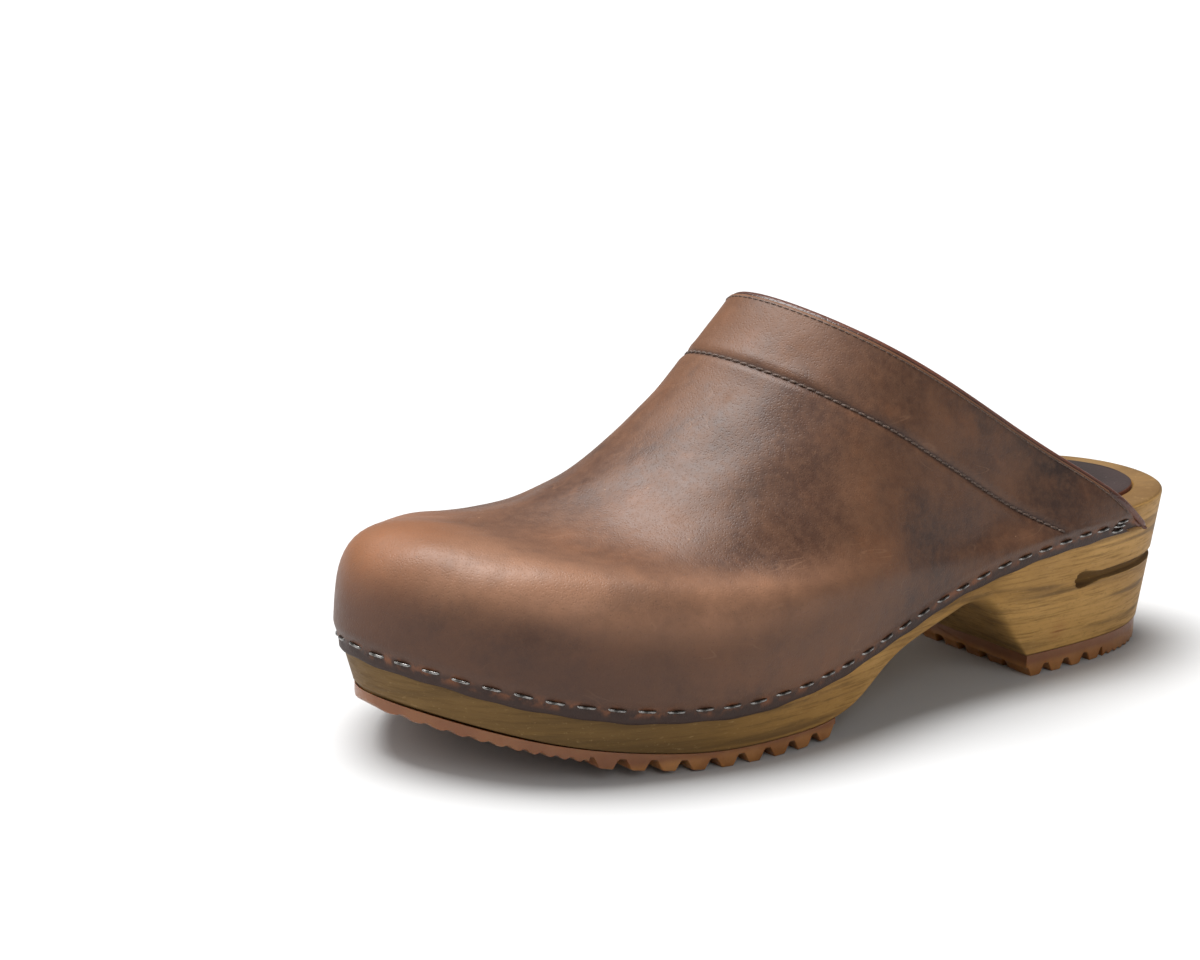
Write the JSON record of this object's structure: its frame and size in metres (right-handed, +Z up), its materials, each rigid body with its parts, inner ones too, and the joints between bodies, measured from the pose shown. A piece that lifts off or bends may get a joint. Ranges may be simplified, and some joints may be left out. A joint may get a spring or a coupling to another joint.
{
  "type": "wooden clog",
  "caption": "Left closed-toe, open-back clog: brown leather upper stapled round a carved wooden base, with padded topline bead and toothed rubber heel and forefoot treads.",
  "frame": {"origin": "on the floor, at the middle of the tip of the heel tread's first large lug, 44.5 mm in front of the heel's back", "axes": "+X towards the toe, +Y towards the outer (lateral) side of the left foot, +Z up"},
  "size_m": [0.2877, 0.1154, 0.1188],
  "materials": {
    "wood": "bare smooth-sanded light hardwood, straight grain along the shoe",
    "rubber": "amber gum rubber, slightly translucent, satin",
    "upper_leather": "oiled pull-up leather, satin, mottled brown with fine pores and light scuffs",
    "lining_leather": "smooth glossy reddish-brown leather",
    "footbed_leather": "smooth dark purplish-brown leather with a red-brown cut edge",
    "cotton_cord": "plain twisted cotton, hidden inside the bead",
    "thread": "waxed dark brown sewing thread",
    "steel_wire": "plain round steel wire, slightly darkened"
  },
  "bodies": {
    "root": {"wood_base": "wood", "footbed_leather": "footbed_leather", "heel_outsole": "rubber", "forefoot_outsole": "rubber", "upper": "upper_leather", "topline_facing": "lining_leather", "topline_piping": "lining_leather", "piping_cord": "cotton_cord", "facing_seam_thread": "thread", "topline_seam_thread": "thread", "staple_01": "steel_wire", "staple_02": "steel_wire", "staple_03": "steel_wire", "staple_04": "steel_wire", "staple_05": "steel_wire", "staple_06": "steel_wire", "staple_07": "steel_wire", "staple_08": "steel_wire", "staple_09": "steel_wire", "staple_10": "steel_wire", "staple_11": "steel_wire", "staple_12": "steel_wire", "staple_13": "steel_wire", "staple_14": "steel_wire", "staple_15": "steel_wire", "staple_16": "steel_wire", "staple_17": "steel_wire", "staple_18": "steel_wire", "staple_19": "steel_wire", "staple_20": "steel_wire", "staple_21": "steel_wire", "staple_22": "steel_wire", "staple_23": "steel_wire", "staple_24": "steel_wire", "staple_25": "steel_wire", "staple_26": "steel_wire", "staple_27": "steel_wire", "staple_28": "steel_wire", "staple_29": "steel_wire", "staple_30": "steel_wire", "staple_31": "steel_wire", "staple_32": "steel_wire", "staple_33": "steel_wire", "staple_34": "steel_wire", "staple_35": "steel_wire", "staple_36": "steel_wire", "staple_37": "steel_wire", "staple_38": "steel_wire", "staple_39": "steel_wire", "staple_40": "steel_wire", "staple_41": "steel_wire", "staple_42": "steel_wire", "staple_43": "steel_wire", "staple_44": "steel_wire", "staple_45": "steel_wire", "staple_46": "steel_wire", "staple_47": "steel_wire", "staple_48": "steel_wire"}
  },
  "joints": []
}
